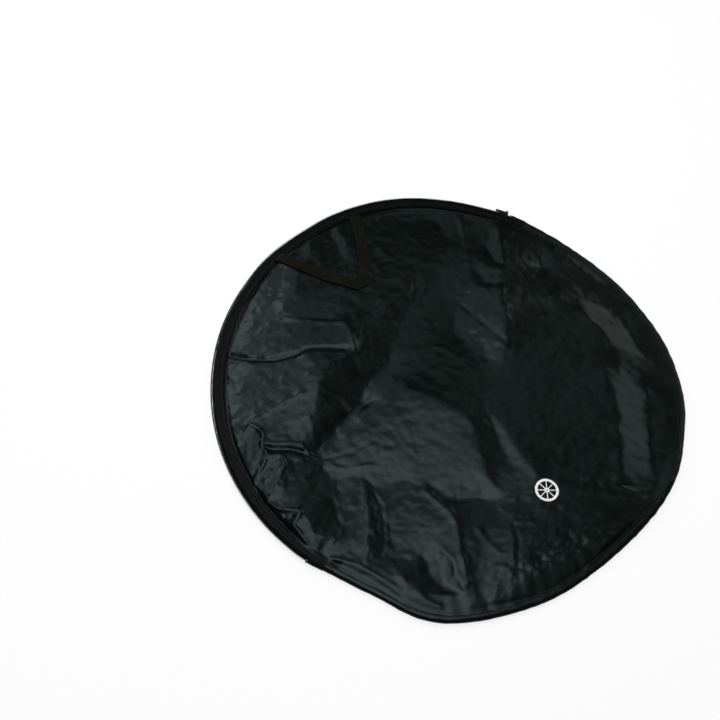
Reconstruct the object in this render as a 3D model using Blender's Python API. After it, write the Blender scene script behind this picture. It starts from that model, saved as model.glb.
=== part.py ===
"""A round flat bag of thin coated nylon for one bicycle wheel, lying empty on its back.

Two round panels are joined at the rim. A fabric gusset closes one part of the rim and a
zip the other. The slider runs along the zip, the front folds open about the straight
line between the zip's ends, and a webbing handle lies on the front beside the zip.
"""
from math import acos, atan2, cos, degrees, hypot, pi, radians, sin

import bmesh
import bpy
from mathutils import Matrix, Vector

# Main sizes, in metres
BAG_RADIUS = 0.390
RIM_BULGE = 0.014
PANEL_THICKNESS = 0.0010
TAPE_THICKNESS = 0.0008
RIM_INNER_HEIGHT = 0.0132
CROWN_RISE = 0.006
SEAM_OVERLAP = 0.006
CLEARANCE = 0.0003
FACET_MERGE = 0.00001

# Where things lie round the rim, in degrees counterclockwise from +X seen from above
ZIP_MIDDLE_DEG = 162.0
FLAP_HALF_DEG = 77.8
GUSSET_JOINS_DEG = (273.0, 355.0)
ARC_STEP_DEG = 3.0
DISC_SEGMENTS = 96
DISC_RINGS = 8

# Zip
ZIP_TAPE_BULGE = 0.010
COIL_THICKNESS = 0.0026
COIL_HEIGHT = 0.0028
COIL_HALF_GAP = 0.0006
COIL_CHAMFER = 0.0006
STOP_LENGTH = 0.003
STOP_HEIGHT = 0.0066
ZIP_TAIL_LENGTH = 0.010
PARK_MARGIN = 0.0045

# Slider and pull tab
SLIDER_LENGTH = 0.017
SLIDER_HEIGHT = 0.0094
SLIDER_INNER_HEIGHT = 0.0080
SLIDER_PLATE = 0.0014
SLIDER_WEB = 0.0006
SLIDER_RUNNING_GAP = 0.0005
SLIDER_BACK_GAP = 0.0009
EAR_THICKNESS = 0.0016
EAR_LENGTH = 0.0044
EAR_REACH = 0.0038
PIN_RADIUS = 0.0006
PIN_OFFSET = 0.0022
PIN_FROM_END = 0.0030
TAB_LENGTH = 0.022
TAB_THICKNESS = 0.0014
TAB_KNUCKLE_RADIUS = 0.0016

# End tabs sewn over both ends of the zip
END_TAB_LENGTH = 0.026
END_TAB_THICKNESS = 0.0008
END_TAB_OVERLAP = 0.003

# Binding tape over the raw edges inside
BINDING_WIDTH = 0.009
BINDING_THICKNESS = 0.0006

# Carrying handle of flat webbing
HANDLE_MIDDLE_DEG = 138.5
HANDLE_END_INSET = 0.017
HANDLE_SPAN = 0.147
HANDLE_REACH = 0.120
HANDLE_LIFT = 0.008
WEBBING_WIDTH = 0.020
WEBBING_THICKNESS = 0.0014
HANDLE_ANCHOR_LENGTH = 0.006
HANDLE_STEPS = 28
HANDLE_PATH_shares = ((-0.5, 0.0), (-0.42, 0.34), (-0.27, 0.66), (-0.06, 0.98), (0.10, 0.95),
                      (0.36, 0.68), (0.445, 0.36), (0.5, 0.0))

# Heights and radii that follow from these sizes
SEAM_RADIUS = BAG_RADIUS - RIM_BULGE
BACK_TOP = PANEL_THICKNESS
FRONT_RIM_TOP = BACK_TOP + RIM_INNER_HEIGHT + PANEL_THICKNESS
SEAM_LOW = BACK_TOP + CLEARANCE + TAPE_THICKNESS / 2
SEAM_HIGH = FRONT_RIM_TOP + CLEARANCE + TAPE_THICKNESS / 2
RIM_MIDDLE = (SEAM_LOW + SEAM_HIGH) / 2
RIM_HALF_HEIGHT = (SEAM_HIGH - SEAM_LOW) / 2
CROWN_RADIUS = SEAM_RADIUS - SEAM_OVERLAP
TAPE_FACE = SEAM_RADIUS + ZIP_TAPE_BULGE + TAPE_THICKNESS / 2
COIL_INNER = TAPE_FACE + CLEARANCE
COIL_OUTER = COIL_INNER + COIL_THICKNESS
HANDLE_END_RADIUS = SEAM_RADIUS - HANDLE_END_INSET
PLATE_INNER = COIL_OUTER + SLIDER_RUNNING_GAP
PLATE_OUTER = PLATE_INNER + SLIDER_PLATE
FOLD_TOP = FRONT_RIM_TOP + CROWN_RISE + CLEARANCE

# Angles that follow from lengths along the rim
FLAP_HALF = radians(FLAP_HALF_DEG)
ZIP_MIDDLE = radians(ZIP_MIDDLE_DEG)
FOLD_DISTANCE = SEAM_RADIUS * cos(FLAP_HALF)
GAP_ANGLE = CLEARANCE / BAG_RADIUS
PARK_ANGLE = (SLIDER_LENGTH + 2 * PARK_MARGIN) / BAG_RADIUS
STUB_FROM = FLAP_HALF + GAP_ANGLE
STUB_TO = STUB_FROM + PARK_ANGLE
STOP_FROM = STUB_TO + GAP_ANGLE
STOP_TO = STOP_FROM + STOP_LENGTH / BAG_RADIUS
TAIL_TO = STOP_TO + ZIP_TAIL_LENGTH / BAG_RADIUS
GUSSET_FROM = TAIL_TO + GAP_ANGLE
END_TAB_FROM = STOP_TO + GAP_ANGLE
END_TAB_TO = END_TAB_FROM + END_TAB_LENGTH / BAG_RADIUS
SLIDER_PARK = FLAP_HALF + GAP_ANGLE + PARK_ANGLE / 2


def clear_scene():
    for old in list(bpy.data.objects):
        bpy.data.objects.remove(old, do_unlink=True)


def make_material(name, colour, roughness, metallic=0.0):
    material = bpy.data.materials.new(name)
    material.use_nodes = True
    shader = material.node_tree.nodes["Principled BSDF"]
    shader.inputs["Base Color"].default_value = (*colour, 1.0)
    shader.inputs["Roughness"].default_value = roughness
    shader.inputs["Metallic"].default_value = metallic
    return material


def add_empty(name, location, turn=0.0):
    empty = bpy.data.objects.new(name, None)
    empty.location = location
    empty.rotation_euler = (0.0, 0.0, turn)
    bpy.context.scene.collection.objects.link(empty)
    bpy.context.view_layer.update()
    return empty


def add_object(bm, name, colour, roughness, metallic=0.0, parent=None, keep_local=False):
    bm.normal_update()
    bmesh.ops.recalc_face_normals(bm, faces=bm.faces[:])
    mesh = bpy.data.meshes.new(name)
    bm.to_mesh(mesh)
    bm.free()
    mesh.shade_smooth()
    mesh.set_sharp_from_angle(angle=radians(35))
    mesh.materials.append(make_material(name, colour, roughness, metallic))
    piece = bpy.data.objects.new(name, mesh)
    bpy.context.scene.collection.objects.link(piece)
    if parent is not None:
        piece.parent = parent
        if not keep_local:
            piece.matrix_parent_inverse = parent.matrix_world.inverted()
    return piece


def offset_path(points, distance):
    """Moves a line of (radius, height) points sideways, to the left of its direction."""
    moved = []
    for i, (r, z) in enumerate(points):
        before = points[max(i - 1, 0)]
        after = points[min(i + 1, len(points) - 1)]
        along = (after[0] - before[0], after[1] - before[1])
        length = hypot(*along)
        moved.append((r - distance * along[1] / length, z + distance * along[0] / length))
    return moved


def skin_profile(points, thickness):
    """Closed outline of a skin that has the points along its middle."""
    return offset_path(points, thickness / 2) + offset_path(points, -thickness / 2)[::-1]


def arc_solid(profile, start, end):
    """Spins a closed outline of (radius, height) points about the bag's axis."""
    bm = bmesh.new()
    first = [bm.verts.new((r * cos(start), r * sin(start), z)) for r, z in profile]
    edges = [bm.edges.new((first[i], first[(i + 1) % len(first)])) for i in range(len(first))]
    steps = max(1, round((end - start) / radians(ARC_STEP_DEG)))
    spun = bmesh.ops.spin(bm, geom=first + edges, cent=(0, 0, 0), axis=(0, 0, 1),
                          angle=end - start, steps=steps, use_duplicate=False)
    last = [item for item in spun["geom_last"] if isinstance(item, bmesh.types.BMEdge)]
    bmesh.ops.contextual_create(bm, geom=edges)
    bmesh.ops.contextual_create(bm, geom=last)
    return bm


def rim_arc(side, near, far):
    """Angles of an arc that lies between near and far from the zip's middle."""
    if side > 0:
        return ZIP_MIDDLE + near, ZIP_MIDDLE + far
    return ZIP_MIDDLE - far, ZIP_MIDDLE - near


def crown_height(radius):
    """Height of the front panel's upper face."""
    share = max(0.0, 1.0 - (radius / CROWN_RADIUS) ** 2)
    return FRONT_RIM_TOP + CROWN_RISE * share ** 1.5


def rim_curve(bulge, power, first_deg, last_deg, count):
    """Points round the rim's section, from the top (90 degrees) to the bottom (-90)."""
    points = []
    for i in range(count):
        turn = radians(first_deg + (last_deg - first_deg) * i / (count - 1))
        across = abs(cos(turn)) ** (2 / power)
        upward = abs(sin(turn)) ** (2 / power) * (1 if turn >= 0 else -1)
        points.append((SEAM_RADIUS + bulge * across, RIM_MIDDLE + RIM_HALF_HEIGHT * upward))
    return points


def tape_path():
    """Middle of the front zip tape's section, from its seam to its edge at the coil."""
    points = [(SEAM_RADIUS - SEAM_OVERLAP, SEAM_HIGH), (SEAM_RADIUS, SEAM_HIGH)]
    points += rim_curve(ZIP_TAPE_BULGE, 4.0, 55, 8, 4)
    points.append((SEAM_RADIUS + ZIP_TAPE_BULGE, RIM_MIDDLE + COIL_HALF_GAP))
    return points


def mirrored(points):
    """The same section on the lower side of the rim."""
    return [(r, 2 * RIM_MIDDLE - z) for r, z in points]


def coil_profile():
    low = RIM_MIDDLE + COIL_HALF_GAP
    high = low + COIL_HEIGHT
    c = COIL_CHAMFER
    return [(COIL_INNER, low), (COIL_OUTER - c, low), (COIL_OUTER, low + c),
            (COIL_OUTER, high - c), (COIL_OUTER - c, high), (COIL_INNER, high)]


def box_mesh(low, high):
    bm = bmesh.new()
    middle = [(a + b) / 2 for a, b in zip(low, high)]
    size = [b - a for a, b in zip(low, high)]
    bmesh.ops.create_cube(bm, size=1.0, matrix=Matrix.Translation(middle) @ Matrix.Diagonal((*size, 1)))
    return bm


def cylinder_mesh(centre, radius, height, segments):
    bm = bmesh.new()
    bmesh.ops.create_cone(bm, cap_ends=True, segments=segments, radius1=radius, radius2=radius,
                          depth=height, matrix=Matrix.Translation(centre))
    return bm


def combine(target, helper, operation):
    """Joins or cuts the target with a hidden helper shape."""
    helper.hide_render = True
    helper.display_type = 'WIRE'
    modifier = target.modifiers.new(helper.name, 'BOOLEAN')
    modifier.operation = operation
    modifier.solver = 'EXACT'
    modifier.object = helper


clear_scene()

NYLON = (0.020, 0.023, 0.022)
TAPE_BLACK = (0.012, 0.013, 0.013)
COIL_BLACK = (0.010, 0.010, 0.011)
WEBBING_BROWN = (0.030, 0.022, 0.017)
SLIDER_GREY = (0.055, 0.057, 0.060)

fold_middle = Vector((cos(ZIP_MIDDLE), sin(ZIP_MIDDLE), 0.0)) * FOLD_DISTANCE
fold_middle.z = FOLD_TOP
fold_axis = add_empty("fold_axis", fold_middle, ZIP_MIDDLE)

# Back panel, a flat round sheet that the bag lies on
bm = bmesh.new()
bmesh.ops.create_circle(bm, cap_ends=True, segments=DISC_SEGMENTS, radius=SEAM_RADIUS)
raised = bmesh.ops.extrude_face_region(bm, geom=bm.faces[:])
bmesh.ops.translate(bm, vec=(0, 0, PANEL_THICKNESS),
                    verts=[v for v in raised["geom"] if isinstance(v, bmesh.types.BMVert)])
add_object(bm, "back_panel", NYLON, 0.45)


# Front panel, gently crowned, cut along the fold into a fixed and an opening part
def front_panel(name, keep_flap, parent):
    bm = bmesh.new()
    radii = [SEAM_RADIUS]
    radii += [CROWN_RADIUS * sin(pi / 2 * i / (DISC_RINGS - 1)) for i in range(DISC_RINGS - 1, 0, -1)]
    line = [bm.verts.new((r, 0, crown_height(r))) for r in radii]
    line.append(bm.verts.new((0, 0, crown_height(0))))
    edges = [bm.edges.new(pair) for pair in zip(line, line[1:])]
    bmesh.ops.spin(bm, geom=line + edges, cent=(0, 0, 0), axis=(0, 0, 1), angle=2 * pi,
                   steps=DISC_SEGMENTS, use_merge=True, use_duplicate=False)
    bmesh.ops.remove_doubles(bm, verts=bm.verts[:], dist=FACET_MERGE)
    across = Vector((cos(ZIP_MIDDLE), sin(ZIP_MIDDLE), 0.0))
    distance = FOLD_DISTANCE + (CLEARANCE / 2 if keep_flap else -CLEARANCE / 2)
    bmesh.ops.bisect_plane(bm, geom=bm.verts[:] + bm.edges[:] + bm.faces[:], dist=FACET_MERGE,
                           plane_co=across * distance, plane_no=across,
                           clear_inner=keep_flap, clear_outer=not keep_flap)
    lowered = bmesh.ops.extrude_face_region(bm, geom=bm.faces[:])
    bmesh.ops.translate(bm, vec=(0, 0, -PANEL_THICKNESS),
                        verts=[v for v in lowered["geom"] if isinstance(v, bmesh.types.BMVert)])
    return add_object(bm, name, NYLON, 0.45, parent=parent)


front_panel("front_panel_lower", False, None)
front_panel("front_panel_flap", True, fold_axis)

# Gusset, the fabric strip that closes the rim where there is no zip, in three lengths
gusset_path = [(SEAM_RADIUS - SEAM_OVERLAP, SEAM_HIGH), (SEAM_RADIUS, SEAM_HIGH)]
gusset_path += rim_curve(RIM_BULGE - TAPE_THICKNESS / 2, 2.6, 62, -62, 8)
gusset_path += [(SEAM_RADIUS, SEAM_LOW), (SEAM_RADIUS - SEAM_OVERLAP, SEAM_LOW)]
gusset_start = ZIP_MIDDLE + GUSSET_FROM
gusset_end = ZIP_MIDDLE + 2 * pi - GUSSET_FROM
first_join, second_join = (radians(join) for join in GUSSET_JOINS_DEG)
for name, start, end in (("edge_gusset_left", gusset_start, first_join - GAP_ANGLE / 2),
                         ("edge_gusset_near", first_join + GAP_ANGLE / 2, second_join - GAP_ANGLE / 2),
                         ("edge_gusset_right", second_join + GAP_ANGLE / 2, gusset_end)):
    add_object(arc_solid(skin_profile(gusset_path, TAPE_THICKNESS), start, end), name, NYLON, 0.45)

# Zip tapes, which bulge from both seams to the coil at the rim's outermost line
front_tape = skin_profile(tape_path(), TAPE_THICKNESS)
back_tape = mirrored(front_tape)
add_object(arc_solid(back_tape, ZIP_MIDDLE - TAIL_TO, ZIP_MIDDLE + TAIL_TO), "zip_tape_back", TAPE_BLACK, 0.7)
add_object(arc_solid(front_tape, ZIP_MIDDLE - FLAP_HALF, ZIP_MIDDLE + FLAP_HALF), "zip_tape_front",
           TAPE_BLACK, 0.7, parent=fold_axis)
add_object(arc_solid(front_tape, *rim_arc(-1, STUB_FROM, TAIL_TO)), "zip_tape_front_start", TAPE_BLACK, 0.7)
add_object(arc_solid(front_tape, *rim_arc(1, STUB_FROM, TAIL_TO)), "zip_tape_front_end", TAPE_BLACK, 0.7)

# Zip coils on the outer faces of the tapes
front_coil = coil_profile()
back_coil = mirrored(front_coil)
add_object(arc_solid(back_coil, ZIP_MIDDLE - STUB_TO, ZIP_MIDDLE + STUB_TO), "zip_coil_back", COIL_BLACK, 0.4)
add_object(arc_solid(front_coil, ZIP_MIDDLE - FLAP_HALF, ZIP_MIDDLE + FLAP_HALF), "zip_coil_front",
           COIL_BLACK, 0.4, parent=fold_axis)
add_object(arc_solid(front_coil, *rim_arc(-1, STUB_FROM, STUB_TO)), "zip_coil_front_start", COIL_BLACK, 0.4)
add_object(arc_solid(front_coil, *rim_arc(1, STUB_FROM, STUB_TO)), "zip_coil_front_end", COIL_BLACK, 0.4)

# Stops at both ends of the coil
stop_profile = [(COIL_INNER, RIM_MIDDLE - STOP_HEIGHT / 2), (COIL_OUTER, RIM_MIDDLE - STOP_HEIGHT / 2),
                (COIL_OUTER, RIM_MIDDLE + STOP_HEIGHT / 2), (COIL_INNER, RIM_MIDDLE + STOP_HEIGHT / 2)]
add_object(arc_solid(stop_profile, *rim_arc(-1, STOP_FROM, STOP_TO)), "zip_stop_start", SLIDER_GREY, 0.4, 0.8)
add_object(arc_solid(stop_profile, *rim_arc(1, STOP_FROM, STOP_TO)), "zip_stop_end", SLIDER_GREY, 0.4, 0.8)

# Fabric tabs sewn round the rim over both ends of the zip
tab_path = [(SEAM_RADIUS - END_TAB_OVERLAP, SEAM_HIGH), (SEAM_RADIUS, SEAM_HIGH)]
tab_path += rim_curve(RIM_BULGE - TAPE_THICKNESS / 2, 2.6, 62, -62, 8)
tab_path = offset_path(tab_path, CLEARANCE + (TAPE_THICKNESS + END_TAB_THICKNESS) / 2)
tab_profile = skin_profile(tab_path, END_TAB_THICKNESS)
add_object(arc_solid(tab_profile, *rim_arc(-1, END_TAB_FROM, END_TAB_TO)), "zip_end_tab_start", NYLON, 0.45)
add_object(arc_solid(tab_profile, *rim_arc(1, END_TAB_FROM, END_TAB_TO)), "zip_end_tab_end", NYLON, 0.45)


# Binding tape inside, over the raw edges of both seams
def binding_profile(low):
    inner = SEAM_RADIUS - BINDING_WIDTH
    return [(inner, low), (SEAM_RADIUS, low), (SEAM_RADIUS, low + BINDING_THICKNESS),
            (inner, low + BINDING_THICKNESS)]


lower_binding = binding_profile(SEAM_LOW + TAPE_THICKNESS / 2 + CLEARANCE)
upper_binding = binding_profile(FRONT_RIM_TOP - PANEL_THICKNESS - CLEARANCE - BINDING_THICKNESS)
bm = arc_solid(lower_binding, ZIP_MIDDLE - pi + GAP_ANGLE, ZIP_MIDDLE + pi - GAP_ANGLE)
add_object(bm, "seam_binding_back", TAPE_BLACK, 0.7)
bm = arc_solid(upper_binding, ZIP_MIDDLE + STUB_FROM, ZIP_MIDDLE + 2 * pi - STUB_FROM)
add_object(bm, "seam_binding_front_lower", TAPE_BLACK, 0.7)
bm = arc_solid(upper_binding, ZIP_MIDDLE - FLAP_HALF, ZIP_MIDDLE + FLAP_HALF)
add_object(bm, "seam_binding_front_flap", TAPE_BLACK, 0.7, parent=fold_axis)

# Slider, with its plates inside and outside the coils and a thin web between them.
# It is drawn on the +X side and turned about the bag's axis to where it is parked.
slider_back = SEAM_RADIUS + ZIP_TAPE_BULGE - TAPE_THICKNESS / 2 - SLIDER_BACK_GAP
half_inner = SLIDER_INNER_HEIGHT / 2
half_outer = SLIDER_HEIGHT / 2
half_web = SLIDER_WEB / 2
section = [(slider_back - SLIDER_PLATE, -half_inner), (slider_back, -half_inner), (slider_back, -half_web),
           (PLATE_INNER, -half_web), (PLATE_INNER, -half_outer), (PLATE_OUTER, -half_outer),
           (PLATE_OUTER, half_outer), (PLATE_INNER, half_outer), (PLATE_INNER, half_web),
           (slider_back, half_web), (slider_back, half_inner), (slider_back - SLIDER_PLATE, half_inner)]
bm = bmesh.new()
outline = [bm.verts.new((x, -SLIDER_LENGTH / 2, RIM_MIDDLE + z)) for x, z in section]
bm.faces.new(outline)
drawn = bmesh.ops.extrude_face_region(bm, geom=bm.faces[:])
bmesh.ops.translate(bm, vec=(0, SLIDER_LENGTH, 0),
                    verts=[v for v in drawn["geom"] if isinstance(v, bmesh.types.BMVert)])
slider = add_object(bm, "slider_body", SLIDER_GREY, 0.4, 0.8)
slider.rotation_euler = (0.0, 0.0, ZIP_MIDDLE - SLIDER_PARK)
bpy.context.view_layer.update()

pin_x = PLATE_OUTER + PIN_OFFSET
pin_y = -SLIDER_LENGTH / 2 + PIN_FROM_END
ear_low_y = pin_y - EAR_LENGTH / 2
for name, upward in (("slider_ear_low", -1), ("slider_ear_high", 1)):
    near = RIM_MIDDLE + upward * (half_outer - EAR_THICKNESS)
    edge = RIM_MIDDLE + upward * half_outer
    bm = box_mesh((PLATE_OUTER - SLIDER_PLATE / 2, ear_low_y, min(near, edge)),
                  (PLATE_OUTER + EAR_REACH, ear_low_y + EAR_LENGTH, max(near, edge)))
    combine(slider, add_object(bm, name, SLIDER_GREY, 0.4, parent=slider, keep_local=True), 'UNION')
bm = cylinder_mesh((pin_x, pin_y, RIM_MIDDLE), PIN_RADIUS, SLIDER_HEIGHT - EAR_THICKNESS, 16)
combine(slider, add_object(bm, "slider_pin", SLIDER_GREY, 0.4, parent=slider, keep_local=True), 'UNION')

# Pull tab, a small plate with a knuckle round the pin, lying back over the slider
tab_half = half_outer - EAR_THICKNESS - CLEARANCE
bm = bmesh.new()
outline = []
lead = acos(TAB_THICKNESS / 2 / TAB_KNUCKLE_RADIUS)
for i in range(13):
    turn = (pi / 2 - lead) + (pi + 2 * lead) * i / 12 + pi / 2
    outline.append((TAB_KNUCKLE_RADIUS * cos(turn), TAB_KNUCKLE_RADIUS * sin(turn)))
tip = TAB_LENGTH - TAB_KNUCKLE_RADIUS
outline = [(-TAB_THICKNESS / 2, TAB_KNUCKLE_RADIUS * sin(lead))] + [
    p for p in outline if p[1] < TAB_KNUCKLE_RADIUS * sin(lead) - FACET_MERGE]
outline += [(TAB_THICKNESS / 2, TAB_KNUCKLE_RADIUS * sin(lead)), (TAB_THICKNESS / 2, tip),
            (-TAB_THICKNESS / 2, tip)]
bm.faces.new([bm.verts.new((x, y, -tab_half)) for x, y in outline])
drawn = bmesh.ops.extrude_face_region(bm, geom=bm.faces[:])
bmesh.ops.translate(bm, vec=(0, 0, 2 * tab_half),
                    verts=[v for v in drawn["geom"] if isinstance(v, bmesh.types.BMVert)])
pull_tab = add_object(bm, "pull_tab", SLIDER_GREY, 0.4, 0.8, parent=slider, keep_local=True)
pull_tab.location = (pin_x, pin_y, RIM_MIDDLE)
bm = cylinder_mesh((0, 0, 0), PIN_RADIUS + CLEARANCE, SLIDER_HEIGHT, 16)
combine(pull_tab, add_object(bm, "tab_bore", SLIDER_GREY, 0.4, parent=pull_tab, keep_local=True), 'DIFFERENCE')

# Handle. Its frame has +X along the line between its ends and +Y towards the bag's middle.
handle_deg = radians(HANDLE_MIDDLE_DEG)
end_distance = (HANDLE_END_RADIUS ** 2 - (HANDLE_SPAN / 2) ** 2) ** 0.5
handle_top = crown_height(HANDLE_END_RADIUS) + CLEARANCE + WEBBING_THICKNESS + CLEARANCE / 2
hinge_point = Vector((end_distance * cos(handle_deg), end_distance * sin(handle_deg), handle_top))
handle_turn = handle_deg + pi / 2
handle_axis = add_empty("handle_axis", hinge_point, handle_turn)
handle_axis.parent = fold_axis
handle_axis.matrix_parent_inverse = fold_axis.matrix_world.inverted()
bpy.context.view_layer.update()


def handle_point(position):
    """Catmull-Rom curve through the handle's path, position running from 0 to 1."""
    spots = HANDLE_PATH_shares
    place = position * (len(spots) - 1)
    i = min(int(place), len(spots) - 2)
    t = place - i
    ends = [spots[max(i - 1, 0)], spots[i], spots[i + 1], spots[min(i + 2, len(spots) - 1)]]
    result = []
    for k in range(2):
        a, b, c, d = (p[k] for p in ends)
        result.append(0.5 * (2 * b + (c - a) * t + (2 * a - 5 * b + 4 * c - d) * t * t
                             + (3 * b - a - 3 * c + d) * t ** 3))
    return result[0] * HANDLE_SPAN, result[1] * HANDLE_REACH


def handle_base(x, y, lift):
    """Height of the strap's lower face above the handle's hinge line."""
    away = hypot(x, end_distance - y)
    return crown_height(away) + CLEARANCE + lift - handle_top


bm = bmesh.new()
rows = []
for i in range(HANDLE_STEPS + 1):
    share = i / HANDLE_STEPS
    x, y = handle_point(share)
    ahead = handle_point(min(share + 0.01, 1.0))
    behind = handle_point(max(share - 0.01, 0.0))
    along = atan2(ahead[1] - behind[1], ahead[0] - behind[0])
    side = (-sin(along), cos(along))
    if i in (0, HANDLE_STEPS):
        side = (-1.0 if i == 0 else 1.0, 0.0)
        y = CLEARANCE / 2
    low = handle_base(x, y, HANDLE_LIFT * sin(pi * share))
    half = WEBBING_WIDTH / 2
    rows.append([bm.verts.new((x + side[0] * half * s, y + side[1] * half * s, low + z))
                 for s, z in ((1, 0), (1, WEBBING_THICKNESS), (-1, WEBBING_THICKNESS), (-1, 0))])
loops = []
for row in rows:
    loops.append([bm.edges.new((row[k], row[(k + 1) % 4])) for k in range(4)])
for a, b in zip(loops, loops[1:]):
    bmesh.ops.bridge_loops(bm, edges=a + b)
bm.faces.new(rows[0])
bm.faces.new(rows[-1])
add_object(bm, "carry_handle", WEBBING_BROWN, 0.85, parent=handle_axis, keep_local=True)

# Sewn ends of the handle, between its hinge line and the zip tape
for name, side in (("handle_end_left", -1), ("handle_end_right", 1)):
    middle = side * HANDLE_SPAN / 2
    low = handle_base(middle, 0.0, 0.0)
    bm = box_mesh((middle - WEBBING_WIDTH / 2, -CLEARANCE / 2 - HANDLE_ANCHOR_LENGTH, low),
                  (middle + WEBBING_WIDTH / 2, -CLEARANCE / 2, low + WEBBING_THICKNESS))
    bm.transform(handle_axis.matrix_world)
    add_object(bm, name, WEBBING_BROWN, 0.85, parent=fold_axis)
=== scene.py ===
"""Round zipped bag for a bicycle wheel, lying empty on the floor with creased, puffed cloth."""

import math

import bpy
import numpy as np
from mathutils import Matrix, Vector, noise
from mathutils.bvhtree import BVHTree


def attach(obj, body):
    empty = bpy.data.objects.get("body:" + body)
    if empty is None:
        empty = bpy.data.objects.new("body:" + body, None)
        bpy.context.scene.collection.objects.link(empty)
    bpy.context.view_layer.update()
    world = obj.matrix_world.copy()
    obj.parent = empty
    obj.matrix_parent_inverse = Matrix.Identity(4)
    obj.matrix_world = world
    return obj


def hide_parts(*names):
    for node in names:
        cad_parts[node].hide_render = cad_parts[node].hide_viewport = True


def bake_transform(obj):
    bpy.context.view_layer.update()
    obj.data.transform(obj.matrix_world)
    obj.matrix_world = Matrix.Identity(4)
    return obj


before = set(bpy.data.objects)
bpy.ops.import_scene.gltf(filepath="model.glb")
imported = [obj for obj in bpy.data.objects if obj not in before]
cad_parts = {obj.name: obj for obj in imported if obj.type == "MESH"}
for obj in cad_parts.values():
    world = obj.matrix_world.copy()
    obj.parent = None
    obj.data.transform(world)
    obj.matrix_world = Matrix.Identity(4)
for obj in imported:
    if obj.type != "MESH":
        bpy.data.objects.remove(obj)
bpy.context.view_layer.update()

# --------------------
# Camera. It stands in front of the bag and a little to its left, looks down
# at it by 58 degrees, and is rolled by 11 degrees.
LOOK_DOWN, ROLL = math.radians(57.609), math.radians(11.275)
level = Vector((1, 0, 0))
ahead = Vector((0, math.cos(LOOK_DOWN), -math.sin(LOOK_DOWN)))
above = Vector((0, math.sin(LOOK_DOWN), math.cos(LOOK_DOWN)))
side = math.cos(ROLL) * level + math.sin(ROLL) * above
top = math.cos(ROLL) * above - math.sin(ROLL) * level
bpy.ops.object.camera_add(location=(-0.15059, -1.04386, 1.68199))
camera = bpy.context.object
camera.name = "camera"
camera.data.lens = 60
camera.data.sensor_width = 36
camera.rotation_euler = Matrix((side, top, -ahead)).transposed().to_euler()
bpy.context.scene.camera = camera

# --------------------
# Studio. Soft lamps stand overhead, behind on the left, farther left and, weaker,
# ahead and on the right, where sloping cloth mirrors them. Flat cloth mirrors few.
bpy.context.scene.view_settings.view_transform = "Standard"


def new_look(name):
    """Adds a material and gives its nodes, links and shader too."""
    look = bpy.data.materials.new(name)
    look.use_nodes = True
    nodes = look.node_tree.nodes
    return look, nodes, look.node_tree.links, nodes["Principled BSDF"]


def combine(nodes, links, operation, first, second):
    """Adds a Math node over two values, the second linked or plain."""
    sums = nodes.new("ShaderNodeMath")
    sums.operation = operation
    links.new(first, sums.inputs[0])
    if isinstance(second, float):
        sums.inputs[1].default_value = second
    else:
        links.new(second, sums.inputs[1])
    return sums.outputs[0]


LAMP_DISTANCE = 3.0
# each lamp: its direction from the bag's middle, its width and height in metres, and its power
LAMPS = (
    ("lamp_overhead", (-0.12, 0.0, 1.0), 2.4, 2.3, 50),
    ("lamp_overhead_middle", (-0.06, 0.02, 1.0), 1.2, 1.2, 14),
    ("lamp_back_left", (-0.46, 0.52, 0.72), 2.1, 1.8, 17),
    ("lamp_back_left_middle", (-0.63, 0.44, 0.64), 0.8, 0.9, 7),
    ("lamp_far_left", (-0.70, 0.47, 0.54), 1.0, 1.6, 11),
    ("lamp_small_left", (-0.36, 0.30, 0.885), 0.45, 0.45, 2.0),
    ("lamp_ahead", (0.05, 0.57, 0.82), 1.1, 0.9, 3.2),
    ("lamp_small_near", (-0.338, -0.047, 0.94), 0.8, 0.7, 9),
    ("lamp_right", (0.40, 0.05, 0.91), 1.0, 1.0, 2.2),
    ("lamp_back_right", (0.62, 0.50, 0.59), 1.1, 1.1, 10),
    ("lamp_back", (0.42, 0.76, 0.50), 0.8, 0.8, 5),
)
for name, towards, wide, high, power in LAMPS:
    spot = Vector(towards).normalized() * LAMP_DISTANCE
    bpy.ops.object.light_add(type="AREA", location=spot)
    lamp = bpy.context.object
    lamp.name = name
    lamp.data.shape = "RECTANGLE"
    lamp.data.size, lamp.data.size_y = wide, high
    lamp.data.energy = power
    lamp.rotation_euler = spot.to_track_quat("Z", "Y").to_euler()

world = bpy.data.worlds.new("studio_air")
bpy.context.scene.world = world
world.use_nodes = True
nodes, links = world.node_tree.nodes, world.node_tree.links
direction = nodes.new("ShaderNodeTexCoord")
parts = nodes.new("ShaderNodeSeparateXYZ")
height = nodes.new("ShaderNodeValToRGB")
links.new(direction.outputs["Generated"], parts.inputs[0])
links.new(parts.outputs["Z"], height.inputs["Fac"])
links.new(height.outputs["Color"], nodes["Background"].inputs["Color"])
height.color_ramp.elements[0].position = 0.0
height.color_ramp.elements[0].color = (0.50, 0.505, 0.51, 1)
height.color_ramp.elements[1].position = 0.12
height.color_ramp.elements[1].color = (0.045, 0.045, 0.047, 1)

bpy.ops.mesh.primitive_circle_add(vertices=128, radius=6, fill_type="NGON",
                                  location=(0, 0, -0.0004))
floor = bpy.context.object
floor.name = "floor"
paint, nodes, links, matt = new_look("pale_floor")
matt.inputs["Base Color"].default_value = (0.86, 0.86, 0.86, 1)
matt.inputs["Roughness"].default_value = 0.9
matt.inputs["Specular IOR Level"].default_value = 0.1
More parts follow.
